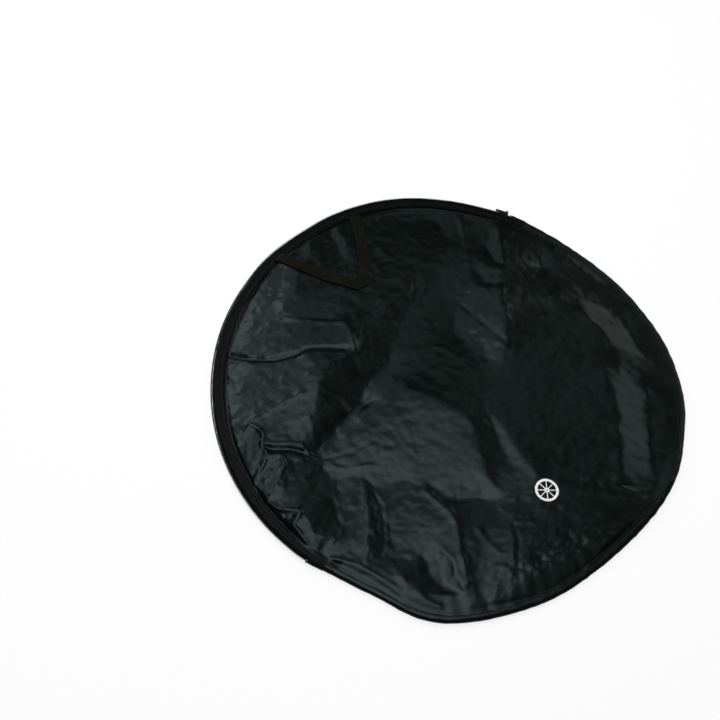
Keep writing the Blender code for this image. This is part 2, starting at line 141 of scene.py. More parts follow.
# it is mostly plain white where it is looked at or mirrored
WHITE_SHARE = 0.8
white = nodes.new("ShaderNodeEmission")
white.inputs["Color"].default_value = (1, 1, 1, 1)
ray = nodes.new("ShaderNodeLightPath").outputs
seen = combine(nodes, links, "MAXIMUM", ray["Is Camera Ray"], ray["Is Glossy Ray"])
seen = combine(nodes, links, "MAXIMUM", seen, ray["Is Transmission Ray"])
blend = nodes.new("ShaderNodeMixShader")
links.new(combine(nodes, links, "MULTIPLY", seen, WHITE_SHARE), blend.inputs[0])
links.new(matt.outputs[0], blend.inputs[1])
links.new(white.outputs[0], blend.inputs[2])
links.new(blend.outputs[0], nodes["Material Output"].inputs[0])
floor.data.materials.append(paint)

# --------------------
# Back panel: a round sheet of thin coated nylon, cut 752 mm across. It lies on
# the floor and carries the bag. Its edge is sewn to the gusset and zip tape.
SHEET_RADIUS = 0.3755
CLOTH = 0.0006
# the rim and the seam as true circles, and the band between them
RIM_RADIUS, SEAM_RADIUS, RIM_BAND = 0.390, 0.376, 0.014
PUFF_OUT = 0.0045
NEAR_DROP_SHARE = 0.30
# the rim's reach from the bag's middle: degrees from +X, millimetres
OUTLINE = (
    (0, 395), (7, 399), (14, 398), (20, 397), (27, 395), (33, 391), (40, 388), (46, 386), (52, 382),
    (57, 381), (63, 381), (69, 382), (74, 385), (78, 389), (82, 390), (88, 390.5), (94, 393),
    (100, 395), (106, 397.5), (115, 399), (125, 397), (132, 395), (138, 391), (145, 390.5),
    (153, 391), (160, 388), (175, 388), (189, 388), (202, 389.5), (209, 390.5), (218, 391.5),
    (227, 392), (235, 391), (240, 390), (244, 390), (246, 387), (249, 383), (252, 382), (256, 383),
    (261, 385), (263, 387), (266, 392), (268, 398), (270, 400), (272, 402), (275, 404), (277, 404),
    (280, 401), (284, 399), (289, 394), (294, 391), (300, 388), (305, 385), (308, 383), (311, 380),
    (320, 378), (326, 379), (333, 383), (339, 388), (346, 393), (350, 395), (356, 395),
)


def ease(t):
    """Runs smoothly from 0 to 1 as t does."""
    t = np.clip(t, 0, 1)
    return t * t * (3 - 2 * t)


def rim_shift(angle):
    """How far the rim lies beyond a true circle at an angle in radians."""
    turn = np.degrees(angle) % 360
    degrees = [a for a, r in OUTLINE]
    reach = [r / 1000 - RIM_RADIUS for a, r in OUTLINE]
    near = [np.interp((turn + d) % 360, degrees, reach, period=360) for d in (-3, -1.5, 0, 1.5, 3)]
    return sum(near) / len(near)


def near_side(turn):
    """1 on the near side, where the bag is lower, and 0 elsewhere."""
    return np.interp(turn, (243, 251, 318, 345), (0, 1, 1, 0))


def on_bag(radius, angle, z):
    """Points at a radius, angle and height, moved out with the rim."""
    turn = np.degrees(angle) % 360
    # the front puffs out over its seam where there is no zip
    puffed = np.interp(turn, (60, 76, 225, 247), (1, 0, 0, 1))
    seam = np.where(radius < SEAM_RADIUS, ease((radius - 0.30) / 0.076),
                    np.clip((RIM_RADIUS - radius) / RIM_BAND, 0, 1))
    out = radius + rim_shift(angle) * ease((radius - 0.25) / 0.11) + PUFF_OUT * puffed * seam
    low = z * (1 - NEAR_DROP_SHARE * near_side(turn) * ease((radius - 0.362) / 0.0125))
    return out * np.cos(angle), out * np.sin(angle), low


def points(piece):
    """A piece's vertices as an array."""
    flat = np.empty(len(piece.data.vertices) * 3)
    piece.data.vertices.foreach_get("co", flat)
    return flat.reshape(-1, 3)


def move_points(piece, spots):
    """Puts a piece's vertices at these places."""
    piece.data.vertices.foreach_set("co", np.ascontiguousarray(spots, dtype=np.float64).ravel())
    piece.data.update()


def noise_at(first, second, third):
    """Smooth noise read at pairs of values, in the layer that the third value names."""
    return np.array([noise.noise(Vector((a, b, third))) for a, b in zip(first, second)])


def cloth_grid(name, columns, rows, place):
    """Adds a grid and lays its point at shares u, v of its sides where place(u, v) says."""
    bpy.ops.mesh.primitive_grid_add(x_subdivisions=columns, y_subdivisions=rows, size=2)
    sheet = bpy.context.object
    sheet.name = sheet.data.name = name
    shares = points(sheet) / 2 + 0.5
    move_points(sheet, np.stack(place(shares[:, 0], shares[:, 1]), axis=1))
    return sheet


def pick(*pieces):
    """Selects these pieces alone and makes the first one active."""
    bpy.ops.object.select_all(action="DESELECT")
    for piece in pieces:
        piece.select_set(True)
    bpy.context.view_layer.objects.active = pieces[0]


def give_wall(piece, thickness, offset=0.0, angle=50):
    """Gives a sheet its thickness and smooths it."""
    pick(piece)
    wall = piece.modifiers.new("wall", "SOLIDIFY")
    wall.thickness = thickness
    wall.offset = offset
    bpy.ops.object.modifier_apply(modifier=wall.name)
    bpy.ops.object.shade_smooth_by_angle(angle=math.radians(angle))


def round_cut(u, v):
    """A square grid's shares as points of a round sheet, closest at the left and near side."""
    x, y = 2 * u - 1, 2 * v - 1
    x, y = x + 0.17 * (x * x - 1), y + 0.12 * (y * y - 1)
    return SHEET_RADIUS * x * np.sqrt(1 - y * y / 2), SHEET_RADIUS * y * np.sqrt(1 - x * x / 2)


def bump_node(nodes, links, height, strength, distance, below=None):
    """Adds a Bump node over the height and an earlier bump."""
    bump = nodes.new("ShaderNodeBump")
    bump.inputs["Strength"].default_value = strength
    bump.inputs["Distance"].default_value = distance
    links.new(height, bump.inputs["Height"])
    if below is not None:
        links.new(below.outputs["Normal"], bump.inputs["Normal"])
    return bump


def speckle(nodes, links, source, scale, detail=3.0, rough=0.5, distortion=0.0, stretch=None):
    """Adds Noise read from a coordinate, stretched if asked, and returns its value."""
    if stretch is not None:
        mapping = nodes.new("ShaderNodeMapping")
        mapping.inputs["Scale"].default_value = stretch[0]
        mapping.inputs["Rotation"].default_value = stretch[1]
        links.new(source, mapping.inputs["Vector"])
        source = mapping.outputs["Vector"]
    spots = nodes.new("ShaderNodeTexNoise")
    spots.inputs["Scale"].default_value = scale
    spots.inputs["Detail"].default_value = detail
    spots.inputs["Roughness"].default_value = rough
    spots.inputs["Distortion"].default_value = distortion
    links.new(source, spots.inputs["Vector"])
    return spots.outputs["Fac"]


def ramp(nodes, links, value, low, high, low_out, high_out):
    """Adds a Map Range from low..high to low_out..high_out."""
    change = nodes.new("ShaderNodeMapRange")
    change.inputs["From Min"].default_value = low
    change.inputs["From Max"].default_value = high
    change.inputs["To Min"].default_value = low_out
    change.inputs["To Max"].default_value = high_out
    links.new(value, change.inputs["Value"])
    return change.outputs["Result"]


def colour(nodes, links, shader, value, low, high, first, second):
    """Runs the shader's colour from one to another as a value goes from low to high."""
    share = ramp(nodes, links, value, low, high, 0, 1)
    mix = nodes.new("ShaderNodeMix")
    mix.data_type = "RGBA"
    links.new(share, mix.inputs["Factor"])
    mix.inputs["A"].default_value = (*first, 1)
    mix.inputs["B"].default_value = (*second, 1)
    links.new(mix.outputs["Result"], shader.inputs["Base Color"])


def weave(nodes, links, source, pitch):
    """Adds a plain weave's height: two crossed sets of threads."""
    threads = []
    for direction in ("X", "Y"):
        wave = nodes.new("ShaderNodeTexWave")
        wave.wave_type = "BANDS"
        wave.bands_direction = direction
        wave.inputs["Scale"].default_value = 0.31416 / pitch
        links.new(source, wave.inputs["Vector"])
        threads.append(wave.outputs["Fac"])
    return combine(nodes, links, "MULTIPLY", *threads)


def coated_nylon(name, first, second, roughness=0.23, specular=0.115, crumple=1.0):
    """Thin woven nylon with a satin coating: faint weave, small crumples and uneven gloss."""
    look, nodes, links, shader = new_look(name)
    place = nodes.new("ShaderNodeTexCoord").outputs["Object"]
    broad = speckle(nodes, links, place, 7, 4, 0.55)
    colour(nodes, links, shader, broad, 0.35, 0.65, first, second)
    gloss = speckle(nodes, links, place, 45, 5, 0.7, 0.6, ((0.45, 1, 1), (0, 0, 0.9)))
    links.new(ramp(nodes, links, gloss, 0.35, 0.7, roughness - 0.05, roughness + 0.07),
              shader.inputs["Roughness"])
    shader.inputs["Specular IOR Level"].default_value = specular
    shader.inputs["Specular Tint"].default_value = (0.76, 1.0, 0.96, 1)
    slow = speckle(nodes, links, place, 20, 2, 0.45, 0.6, ((1, 1, 1), (0, 0, 0.6)))
    fine = speckle(nodes, links, place, 120, 3, 0.6, 0.3, ((0.35, 1, 1), (0, 0, 0.25)))
    first_bump = bump_node(nodes, links, slow, 0.17 * crumple, 0.003)
    second_bump = bump_node(nodes, links, fine, 0.25 * crumple, 0.0006, first_bump)
    woven = weave(nodes, links, place, 0.0009)
    last_bump = bump_node(nodes, links, woven, 0.07, 0.0002, second_bump)
    links.new(last_bump.outputs["Normal"], shader.inputs["Normal"])
    return look


nylon = coated_nylon("coated_nylon_black", (0.0014, 0.0025, 0.0023), (0.0025, 0.0040, 0.0037))


def back_place(u, v):
    """The back sheet, flat on the floor with low lumps in it."""
    x, y = round_cut(u, v)
    radius, angle = np.hypot(x, y), np.arctan2(y, x)
    lumps = noise_at(x * 9, y * 9, 3.0)
    z = 0.0007 + 0.0012 * (lumps * 0.5 + 0.5) * ease((0.36 - radius) / 0.06)
    return on_bag(radius, angle, z)


back_sheet = cloth_grid("back_sheet", 120, 120, back_place)
give_wall(back_sheet, CLOTH)
back_sheet.data.materials.append(nylon)
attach(back_sheet, "bag")
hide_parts("back_panel")

# --------------------
# Seam bindings: folded black tape, 7 mm wide, sewn over the raw edges inside
# the bag, once round the back seam and once round the front seam.


def woven_tape(name, first, second, pitch=0.0011, roughness=0.7, specular=0.25):
    """Matt woven tape with ribs across it and a little wear in its colour."""
    look, nodes, links, shader = new_look(name)
    place = nodes.new("ShaderNodeTexCoord").outputs["Object"]
    wear = speckle(nodes, links, place, 60, 4, 0.6)
    colour(nodes, links, shader, wear, 0.35, 0.7, first, second)
    links.new(ramp(nodes, links, wear, 0.3, 0.7, roughness - 0.08, roughness + 0.08),
              shader.inputs["Roughness"])
    shader.inputs["Specular IOR Level"].default_value = specular
    shader.inputs["Specular Tint"].default_value = (0.82, 1.0, 0.96, 1)
    rib = bump_node(nodes, links, weave(nodes, links, place, pitch), 0.35, 0.0003)
    soft = bump_node(nodes, links, speckle(nodes, links, place, 240, 2), 0.25, 0.0004, rib)
    links.new(soft.outputs["Normal"], shader.inputs["Normal"])
    return look


# the tape's own black, made darker and less glossy than the cloth; part of this darkness is painted
# shade for the band along the far rim, which lies in shadow
tape_black = woven_tape("zip_tape_black", (0.0009, 0.0013, 0.0012), (0.0019, 0.0026, 0.0024),
                        roughness=0.34, specular=0.038)


def weld():
    """Joins the points of the active piece that lie on each other."""
    bpy.ops.object.mode_set(mode="EDIT")
    bpy.ops.mesh.select_all(action="SELECT")
    bpy.ops.mesh.remove_doubles(threshold=0.00002)
    bpy.ops.object.mode_set(mode="OBJECT")


def ring_strip(name, first_deg, last_deg, section, step=0.003, ripple=0.0, seed=0.0,
               wider=((0, 0),)):
    """A strip round the bag. section(v) gives its radius and height across, v from 0 to 1."""
    long = math.radians(last_deg - first_deg)

    def place(u, v):
        angle = math.radians(first_deg) + long * u
        radius, z = section(v)
        # its inner flange reaches farther in at some angles: degrees, metres
        reach = np.interp(np.degrees(angle), [a for a, r in wider], [r for a, r in wider])
        radius = radius - reach * np.clip((SEAM_RADIUS - radius) / 0.007, 0, 1)
        wave = noise_at(angle * 30, v * 2, seed)
        return on_bag(radius + ripple * wave, angle, z + ripple * 0.5 * wave)

    strip = cloth_grid(name, max(8, round(long * 0.385 / step)), 12, place)
    if last_deg - first_deg == 360:
        weld()
    return strip


def cross_fold(piece):
    """Bakes the piece's place into its points, leaving it where it lies."""
    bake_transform(piece)


def binding_section(height, rise):
    """A slanting strip that starts inside the bag at a height and runs out to the seam."""
    return lambda v: (0.3700 + 0.0045 * v, height + rise * v)


BINDING = 0.0005
binding_back = ring_strip("binding_back", 0, 360, binding_section(0.0080, -0.0050), 0.005)
binding_front = ring_strip("binding_front", 0, 360, binding_section(0.0088, 0.0050), 0.005)
for strip in (binding_back, binding_front):
    give_wall(strip, BINDING)
    strip.data.materials.append(tape_black)
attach(binding_back, "bag")
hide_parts("seam_binding_back")
cross_fold(binding_front)
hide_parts("seam_binding_front_flap", "seam_binding_front_lower")

# --------------------
# Edge gusset: one strip of the same nylon, 36 mm wide from seam to seam, sewn
# between the two round panels where there is no zip. It follows the rim.


# the middle, half height and top of the rim's section, and the way round half of it
RIM_MIDDLE, RIM_HALF, RIM_TOP, HALF_WAY = 0.0088, 0.0071, 0.0159, 0.030


def rim_section(bulge, power, first_turn, last_turn, flange, tuck=0.0):
    """Half of a rounded section, from its top edge inwards of the seam to where it ends."""
    def section(v):
        share = flange / (flange + HALF_WAY)
        on_flange = np.clip(v / share, 0, 1)
        way = np.clip((v - share) / (1 - share), 0, 1)
        turn = np.radians(first_turn + (last_turn - first_turn) * way)
        radius = SEAM_RADIUS + bulge * np.abs(np.cos(turn)) ** (2 / power)
        z = RIM_MIDDLE + RIM_HALF * np.sign(np.sin(turn)) * np.abs(np.sin(turn)) ** (2 / power)
        return (np.where(v < share, SEAM_RADIUS - flange * (1 - on_flange), radius),
                np.where(v < share, RIM_TOP - tuck * (1 - on_flange), z))
    return section


def mirrored(section):
    """A section turned upside down about the rim's middle."""
    def turned(v):
        radius, z = section(v)
        return radius, 2 * RIM_MIDDLE - z
    return turned


def both_flanges(bulge, power, flange, tuck=0.0):
    """A whole rounded section with a flange at the top and at the bottom."""
    half = rim_section(bulge, power, 90, 0, flange, tuck)

    def section(v):
        radius, z = half(np.where(v < 0.5, 2 * v, 2 - 2 * v))
        return radius, np.where(v < 0.5, z, 2 * RIM_MIDDLE - z)
    return section


gusset = ring_strip("edge_gusset", 245.66 - 360, 78.34, both_flanges(RIM_BAND, 2.6, 0.004, 0.0022),
                    0.0025, 0.0010, 5.0)
give_wall(gusset, CLOTH)
gusset.data.materials.append(nylon)
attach(gusset, "bag")
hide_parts("edge_gusset_left", "edge_gusset_near", "edge_gusset_right")

# --------------------
# Zip tapes: woven black tape, one sewn to the back panel and one to the front
# panel. The front one lies over the panel's edge.
TAPE = 0.0007
TAPE_FROM, TAPE_TO, TAPE_BULGE = 78.4, 245.6, 0.010
back_tape = ring_strip("back_zip_tape", TAPE_FROM, TAPE_TO,
                       mirrored(rim_section(TAPE_BULGE, 3.4, 90, 7, 0.006)), 0.0025, 0.0003, 1.0)
give_wall(back_tape, TAPE)
back_tape.data.materials.append(tape_black)
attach(back_tape, "bag")
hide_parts("zip_tape_back")

STRAP_ENDS = (Vector((-0.3255, 0.1845)), Vector((-0.2105, 0.307)))
# how much farther in the front tape reaches: degrees, metres. Along the far rim the wider flange is
# partly painted shade: a dark strip laid over cloth that slopes away in shadow.
TAPE_REACH = ((78, 0.002), (86, 0.005), (130, 0.005), (165, 0.001), (224, 0), (236, -0.0022),
              (246, -0.003))
front_tape = ring_strip("front_zip_tape", TAPE_FROM, TAPE_TO,
                        rim_section(TAPE_BULGE, 3.4, 90, 7, 0.007), 0.0025, 0.0004, 2.0, TAPE_REACH)
# it is lifted where the two ends of the handle go under it
TAPE_LIFT = 0.0022
spots = points(front_tape)
for end in STRAP_ENDS:
    off = np.hypot(spots[:, 0] - end.x, spots[:, 1] - end.y)
    inside = ease((0.380 - np.hypot(spots[:, 0], spots[:, 1])) / 0.006)
    spots[:, 2] += TAPE_LIFT * np.exp(-(off / 0.013) ** 2) * inside
move_points(front_tape, spots)
give_wall(front_tape, TAPE)
front_tape.data.materials.append(tape_black)
cross_fold(front_tape)
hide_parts("zip_tape_front", "zip_tape_front_start", "zip_tape_front_end")

# --------------------
# Zip coils: a spiral of black nylon wire sewn to the edge of each tape. The
# loops of the front coil stand between those of the back coil.


def moulded(name, first, roughness, metallic=0.0, grain=900, depth=0.00012):
    """Smooth moulded or enamelled finish with a fine uneven skin."""
    look, nodes, links, shader = new_look(name)
    place = nodes.new("ShaderNodeTexCoord").outputs["Object"]
    skin = speckle(nodes, links, place, grain, 3)
    colour(nodes, links, shader, skin, 0.45, 0.8, first, tuple(c * 1.5 + 0.004 for c in first))
    links.new(ramp(nodes, links, skin, 0.3, 0.7, roughness - 0.06, roughness + 0.06),
              shader.inputs["Roughness"])
    shader.inputs["Metallic"].default_value = metallic
    links.new(bump_node(nodes, links, skin, 0.3, depth).outputs["Normal"], shader.inputs["Normal"])
    return look


coil_black = moulded("zip_coil_black", (0.008, 0.0085, 0.0085), 0.55)
COIL_PITCH, COIL_RADIUS, WIRE_RADIUS = 0.0018, 0.388, 0.00035
LOOP_STEPS = 8
COIL_FROM, COIL_TO = 80.4, 243.6


def coil(name, low, high, start):
    """A wire spiral along the zip between two heights."""
    turns = round(math.radians(COIL_TO - COIL_FROM) * COIL_RADIUS / COIL_PITCH)
    steps = np.arange(turns * LOOP_STEPS + 1)
    angle = math.radians(COIL_FROM) + (steps / LOOP_STEPS + start) * COIL_PITCH / COIL_RADIUS
    phase = steps * math.tau / LOOP_STEPS
    radius = COIL_RADIUS + 0.00095 * np.cos(phase)
    z = (low + high) / 2 + ((high - low) / 2 - WIRE_RADIUS) * np.sin(phase)
    x, y, z = on_bag(radius, angle, z)
    path = bpy.data.curves.new(name, "CURVE")
    path.dimensions = "3D"
    line = path.splines.new("POLY")
    line.points.add(len(steps) - 1)
    line.points.foreach_set("co", np.stack([x, y, z, np.ones_like(x)], axis=1).ravel())
    path.bevel_depth = WIRE_RADIUS
    path.bevel_resolution = 0
    path.use_fill_caps = True
    wire = bpy.data.objects.new(name, path)
    bpy.context.collection.objects.link(wire)
    pick(wire)
    bpy.ops.object.convert(target="MESH")
    wire = bpy.context.object
    bpy.ops.object.shade_smooth()
    wire.data.materials.append(coil_black)
    return wire


back_coil = coil("back_zip_coil", 0.0056, 0.0090, 0.0)
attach(back_coil, "bag")
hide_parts("zip_coil_back")
front_coil = coil("front_zip_coil", 0.0087, 0.0121, 0.5)
cross_fold(front_coil)
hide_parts("zip_coil_front", "zip_coil_front_start", "zip_coil_front_end")

# --------------------
# Stops, slider and pull tab: dark enamelled zinc. The stops are pinched over
# both ends of the coils, and the slider carries the pull on a pin.
zip_metal = moulded("zip_enamel_dark", (0.022, 0.023, 0.025), 0.46, 0.4, 1400, 0.00008)
for node in ("zip_stop_start", "zip_stop_end", "slider_body", "pull_tab"):
    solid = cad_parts[node]
    solid.data.materials.clear()
    solid.data.materials.append(zip_metal)

# --------------------
# End tabs: short folded pieces of the nylon sewn across both ends of the zip,
# over the tapes and the gusset.


def over_rim(section, gap):
    """A section moved outwards from the rim by a gap."""
    def moved(v):
        radius, z = section(v)
        away_r, away_z = np.maximum(radius - SEAM_RADIUS, 0), z - RIM_MIDDLE
        size = np.hypot(away_r, away_z)
        return radius + gap * away_r / size, z + gap * away_z / size
    return moved


END_TAB = 0.0005
tab_nylon = coated_nylon("end_tab_nylon_black", (0.0024, 0.0032, 0.0030), (0.0034, 0.0045, 0.0042),
                         0.4, 0.03, 0.6)
for name, first, last, node in (("end_tab_start", 75.99, 79.81, "zip_end_tab_start"),
                                ("end_tab_end", 244.19, 248.01, "zip_end_tab_end")):
    tab = ring_strip(name, first, last, over_rim(both_flanges(0.0135, 2.8, 0.004), 0.0007),
                     0.0015, 0.0003, 7.0)
    give_wall(tab, END_TAB)
    tab.data.materials.append(tab_nylon)
    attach(tab, "bag")
    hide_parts(node)

# --------------------
# Front panel: a second round sheet of the nylon, puffed up by the air and the
# folds in it. It is held all round by its seam, and creases between the puffs.
# each slope in the cloth: where it faces in degrees, its tilt in degrees, how
# soft its edge is, and the x,y of its corners, in millimetres
SLOPES = (
    ("lit sweep", 262, 14, 14, (-165,-172, -136,-99, -102,-50, -68,-30, -22,-38, 52,-60, 63,-116,
     81,-171, 57,-234, 58,-333, 13,-294, -55,-319, -134,-331, -174,-307, -157,-201)),
    ("upper left rest", 45, 6, 8, (-317,203, -278,232, -232,275, -110,322, -60,330, -35,300,
     -52,236, -84,214, -110,180, -135,130, -190,92, -228,110, -262,128, -300,160)),
    ("foot of the dark slope", 30, 3, 8, (-103,100, -50,100, -55,10, -95,-55, -142,-66, -105,24)),
    ("flat behind the middle", 30, 3, 8, (-45,197, 15,113, 53,34, 55,-49, -22,-32, -73,-15, -96,-1,
     -95,86, -81,145)),
    ("behind the tongue", 5, 13, 4, (-290,150, -279,138, -281,104, -293,85, -287,66, -244,66,
     -190,76, -167,66, -137,110, -175,132, -205,136, -250,145)),
    ("left lobe", 180, 10, 4, (-332,166, -305,169, -283,154, -281,138, -285,104, -297,86, -293,69,
     -286,60, -244,59, -188,71, -164,28, -235,14, -265,-3, -297,-22, -363,-17, -370,54, -358,120)),
    ("left lobe by the rim", 185, 16, 4, (-370,33, -359,81, -349,109, -335,108, -345,60, -342,24,
     -349,-8, -363,-5)),
    ("second lobe", 182, 10, 3, (-365,-45, -299,-28, -228,-24, -210,-47, -205,-84, -260,-108,
     -286,-127, -297,-159, -324,-182, -354,-118)),
    ("second lobe by the rim", 186, 17, 4, (-365,-67, -358,-39, -336,-36, -310,-44, -333,-54,
     -340,-74, -328,-100, -320,-118, -328,-138, -329,-157, -346,-130, -357,-101)),
    ("under the tongue", 20, 9, 4, (-238,4, -177,19, -167,25, -173,-6, -195,-25, -212,-29,
     -231,-18)),
    ("main dark slope", 350, 18, 5, (-51,232, -45,197, -81,145, -95,86, -103,24, -139,-62,
     -158,-104, -174,-167, -203,-142, -216,-112, -208,-85, -210,-47, -191,-13, -163,23, -163,84,
     -115,137, -82,192)),
    ("dark slope, low end", 345, 16, 4, (-95,86, -103,24, -141,-62, -162,-104, -176,-167, -203,-142,
     -216,-112, -208,-85, -210,-47, -191,-13, -163,23, -150,60)),
    ("deep fold", 355, 22, 6, (-198,-6, -163,6, -139,-12, -142,-43, -162,-67, -184,-80, -200,-65,
     -200,-32)),
    ("third lobe", 20, 2, 3, (-300,-147, -286,-126, -261,-105, -233,-82, -213,-69, -218,-93,
     -223,-115, -211,-134, -197,-153, -181,-171, -203,-171, -232,-170, -266,-174, -278,-153)),
    ("groove under third lobe", 75, 12, 2, (-268,-178, -246,-177, -215,-172, -205,-178, -219,-187,
     -238,-187, -258,-194)),
    ("rim corner", 205, 10, 3, (-319,-191, -303,-155, -299,-147, -278,-153, -272,-181, -264,-191,
     -270,-230, -273,-244, -293,-228, -310,-211)),
    ("tube of cloth", 190, 12, 2, (-260,-200, -240,-190, -235,-201, -236,-220, -241,-253, -254,-247,
     -267,-243, -265,-222)),
    ("behind the tube", 40, 12, 3, (-235,-194, -215,-189, -213,-210, -221,-236, -236,-250,
     -233,-218)),
    ("over the hollow", 240, 10, 4, (-211,-192, -183,-177, -145,-163, -130,-188, -157,-194,
     -183,-193, -201,-221, -223,-251, -236,-264, -220,-229)),
    ("hollow", 60, 17, 4, (-182,-200, -164,-194, -154,-214, -143,-238, -143,-257, -133,-272,
     -129,-294, -138,-303, -152,-311, -165,-312, -178,-291, -191,-271, -199,-254, -197,-234)),
    ("low left puff", 220, 13, 3, (-268,-252, -254,-247, -246,-266, -218,-275, -194,-275, -194,-290,
     -166,-332, -155,-342, -183,-335, -218,-317, -236,-301, -253,-279)),
    ("low left groove", 60, 10, 2, (-245,-293, -214,-291, -209,-297, -236,-301)),
    ("left column", 225, 9, 3, (-149,-213, -129,-191, -109,-201, -100,-228, -90,-260, -81,-325,
     -137,-339, -152,-324, -136,-306, -126,-293, -128,-269, -140,-246)),
    ("dark streak", 45, 12, 2, (-106,-199, -96,-200, -82,-225, -72,-236, -62,-280, -57,-303,
     -64,-323, -82,-327, -84,-288, -91,-252, -101,-220)),
    ("middle column", 232, 7, 3, (-85,-213, -66,-195, -42,-183, -15,-198, 13,-214, 30,-228, 41,-244,
     50,-276, 62,-311, 49,-305, 38,-288, 16,-288, 7,-308, -10,-318, -50,-320, -56,-295, -68,-239)),
    ("arrow slope", 70, 10, 3, (-19,-178, -6,-185, 19,-201, 36,-202, 65,-192, 95,-189, 107,-206,
     105,-230, 92,-251, 83,-278, 87,-322, 80,-336, 65,-315, 53,-280, 44,-240, 29,-219, 7,-207,
     -11,-195)),
    ("low patch", 55, 13, 3, (-50,-320, -34,-323, -8,-306, 1,-302, 10,-304, 13,-317, 24,-328,
     32,-341, 43,-360, 27,-360, 10,-353, -10,-346, -29,-343)),
    ("bright fin", 226, 21, 2, (14,-290, 24,-287, 42,-297, 50,-313, 66,-333, 67,-345, 45,-352,
     38,-331, 27,-308)),
    ("right of arrow", 235, 9, 5, (106,-192, 125,-214, 134,-237, 140,-286, 145,-321, 120,-339,
     88,-349, 85,-298, 90,-264, 107,-233)),
    ("near edge band", 262, 14, 2, (-157,-346, -137,-338, -114,-342, -87,-349, -56,-355, -32,-363,
     -17,-378, -35,-378, -60,-369, -96,-359, -125,-354)),
    ("near edge fold", 80, 8, 2, (-72,-347, -37,-350, -5,-365, -11,-373, -36,-359)),
    ("second edge band", 258, 14, 2, (-26,-362, -9,-355, 10,-358, 33,-359, 45,-370, 12,-372,
     -6,-372)),
    ("swirl", 220, 10, 2, (65,-363, 76,-356, 90,-361, 90,-372, 72,-372)),
    ("edge band right", 262, 10, 4, (91,-348, 119,-336, 163,-318, 190,-310, 187,-325, 151,-345,
     114,-360, 93,-367)),
    ("dark line right", 70, 12, 2, (130,-228, 139,-253, 140,-286, 146,-317, 152,-316, 148,-284,
     146,-251, 139,-226)),
    ("centre hollow", 40, 6, 4, (52,-50, 77,-82, 104,-166, 80,-160, 62,-110)),
    ("short fin", 190, 15, 6, (58,-22, 90,-57, 152,-132, 150,-141, 113,-124, 85,-74)),
    ("tip of the dark slope", 355, 7, 4, (-74,240, -46,242, -38,196, -66,166, -86,184)),
    ("upper rib", 188, 19, 3, (33,346, 42,356, 54,324, 63,267, 53,262, 33,287, 28,317)),
    ("rib bars", 200, 16, 4, (24,256, 58,256, 62,219, 28,217)),
    ("upper facet", 196, 18, 4, (-10,141, 0,169, 11,197, 62,214, 74,161, 80,108, 77,83, 66,56,
     56,62, 50,85, 33,97, 2,98)),
    ("facet right", 205, 20, 2, (42,141, 73,153, 80,108, 69,110, 50,126)),
    ("facet tail", 205, 20, 2, (50,101, 74,99, 76,83, 68,59, 57,64)),
    ("facet streak", 210, 18, 2, (-10,137, 8,133, 28,112, 23,95, 0,102)),
    ("facet top", 208, 18, 2, (5,191, 62,214, 63,199, 42,183, 53,165, 33,162, 14,172)),
    ("right low patch", 190, 12, 4, (129,213, 153,225, 165,209, 155,192, 138,194)),
    ("right band high", 42, 14, 6, (208,206, 239,221, 276,219, 299,157, 295,131, 262,133, 252,164,
     219,184)),
    ("right band low", 355, 13, 7, (257,75, 283,85, 301,79, 319,64, 319,13, 331,-15, 337,-71,
     359,-110, 334,-121, 293,-119, 293,-81, 284,-25, 275,22, 261,54)),
    ("far right rest", 200, 2, 8, (150,334, 180,328, 245,277, 297,230, 288,213, 236,244, 200,250,
     163,279)),
    ("far patch", 186, 20, 3, (131,334, 157,318, 147,293, 177,289, 142,271, 131,296)),
    ("far left patch", 185, 10, 4, (-251,272, -239,274, -219,255, -206,222, -215,211, -229,236)),
    ("far left spot", 185, 13, 3, (-293,222, -282,227, -273,219, -273,201, -282,198)),
)
